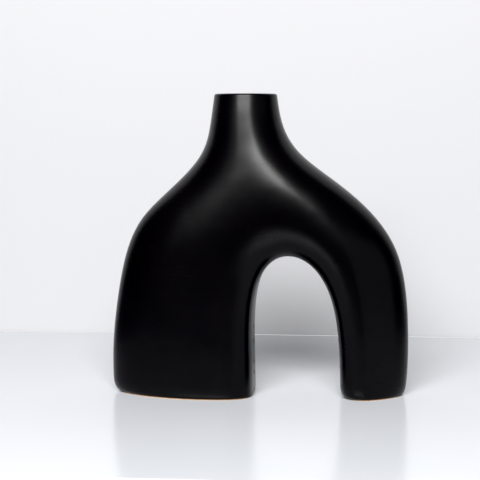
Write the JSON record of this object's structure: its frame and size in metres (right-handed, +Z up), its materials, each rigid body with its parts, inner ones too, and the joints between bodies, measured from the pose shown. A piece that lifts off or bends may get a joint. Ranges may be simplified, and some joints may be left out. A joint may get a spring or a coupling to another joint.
{
  "type": "arch-shaped ceramic bud vase",
  "caption": "Hollow arch-shaped ceramic vase with a round neck, a broad leg, a slim leg and an arched gap, glazed satin black, for dried or fresh stems.",
  "frame": {"origin": "on the table under the middle of the whole vase, at the bottom face of the foot pads", "axes": "+Z up along the neck, +X from the broad leg to the slim leg, the front faces -Y"},
  "size_m": [0.2486, 0.0782, 0.25],
  "materials": {
    "bare_stoneware": "unglazed, fine matte",
    "black_glaze": "satin black glaze",
    "cork_sheet": "natural cork sheet"
  },
  "bodies": {
    "root": {"clay_body": "bare_stoneware", "outer_glaze": "black_glaze", "throat_glaze": "black_glaze", "left_foot_pad": "cork_sheet", "right_foot_pad": "cork_sheet"}
  },
  "joints": []
}
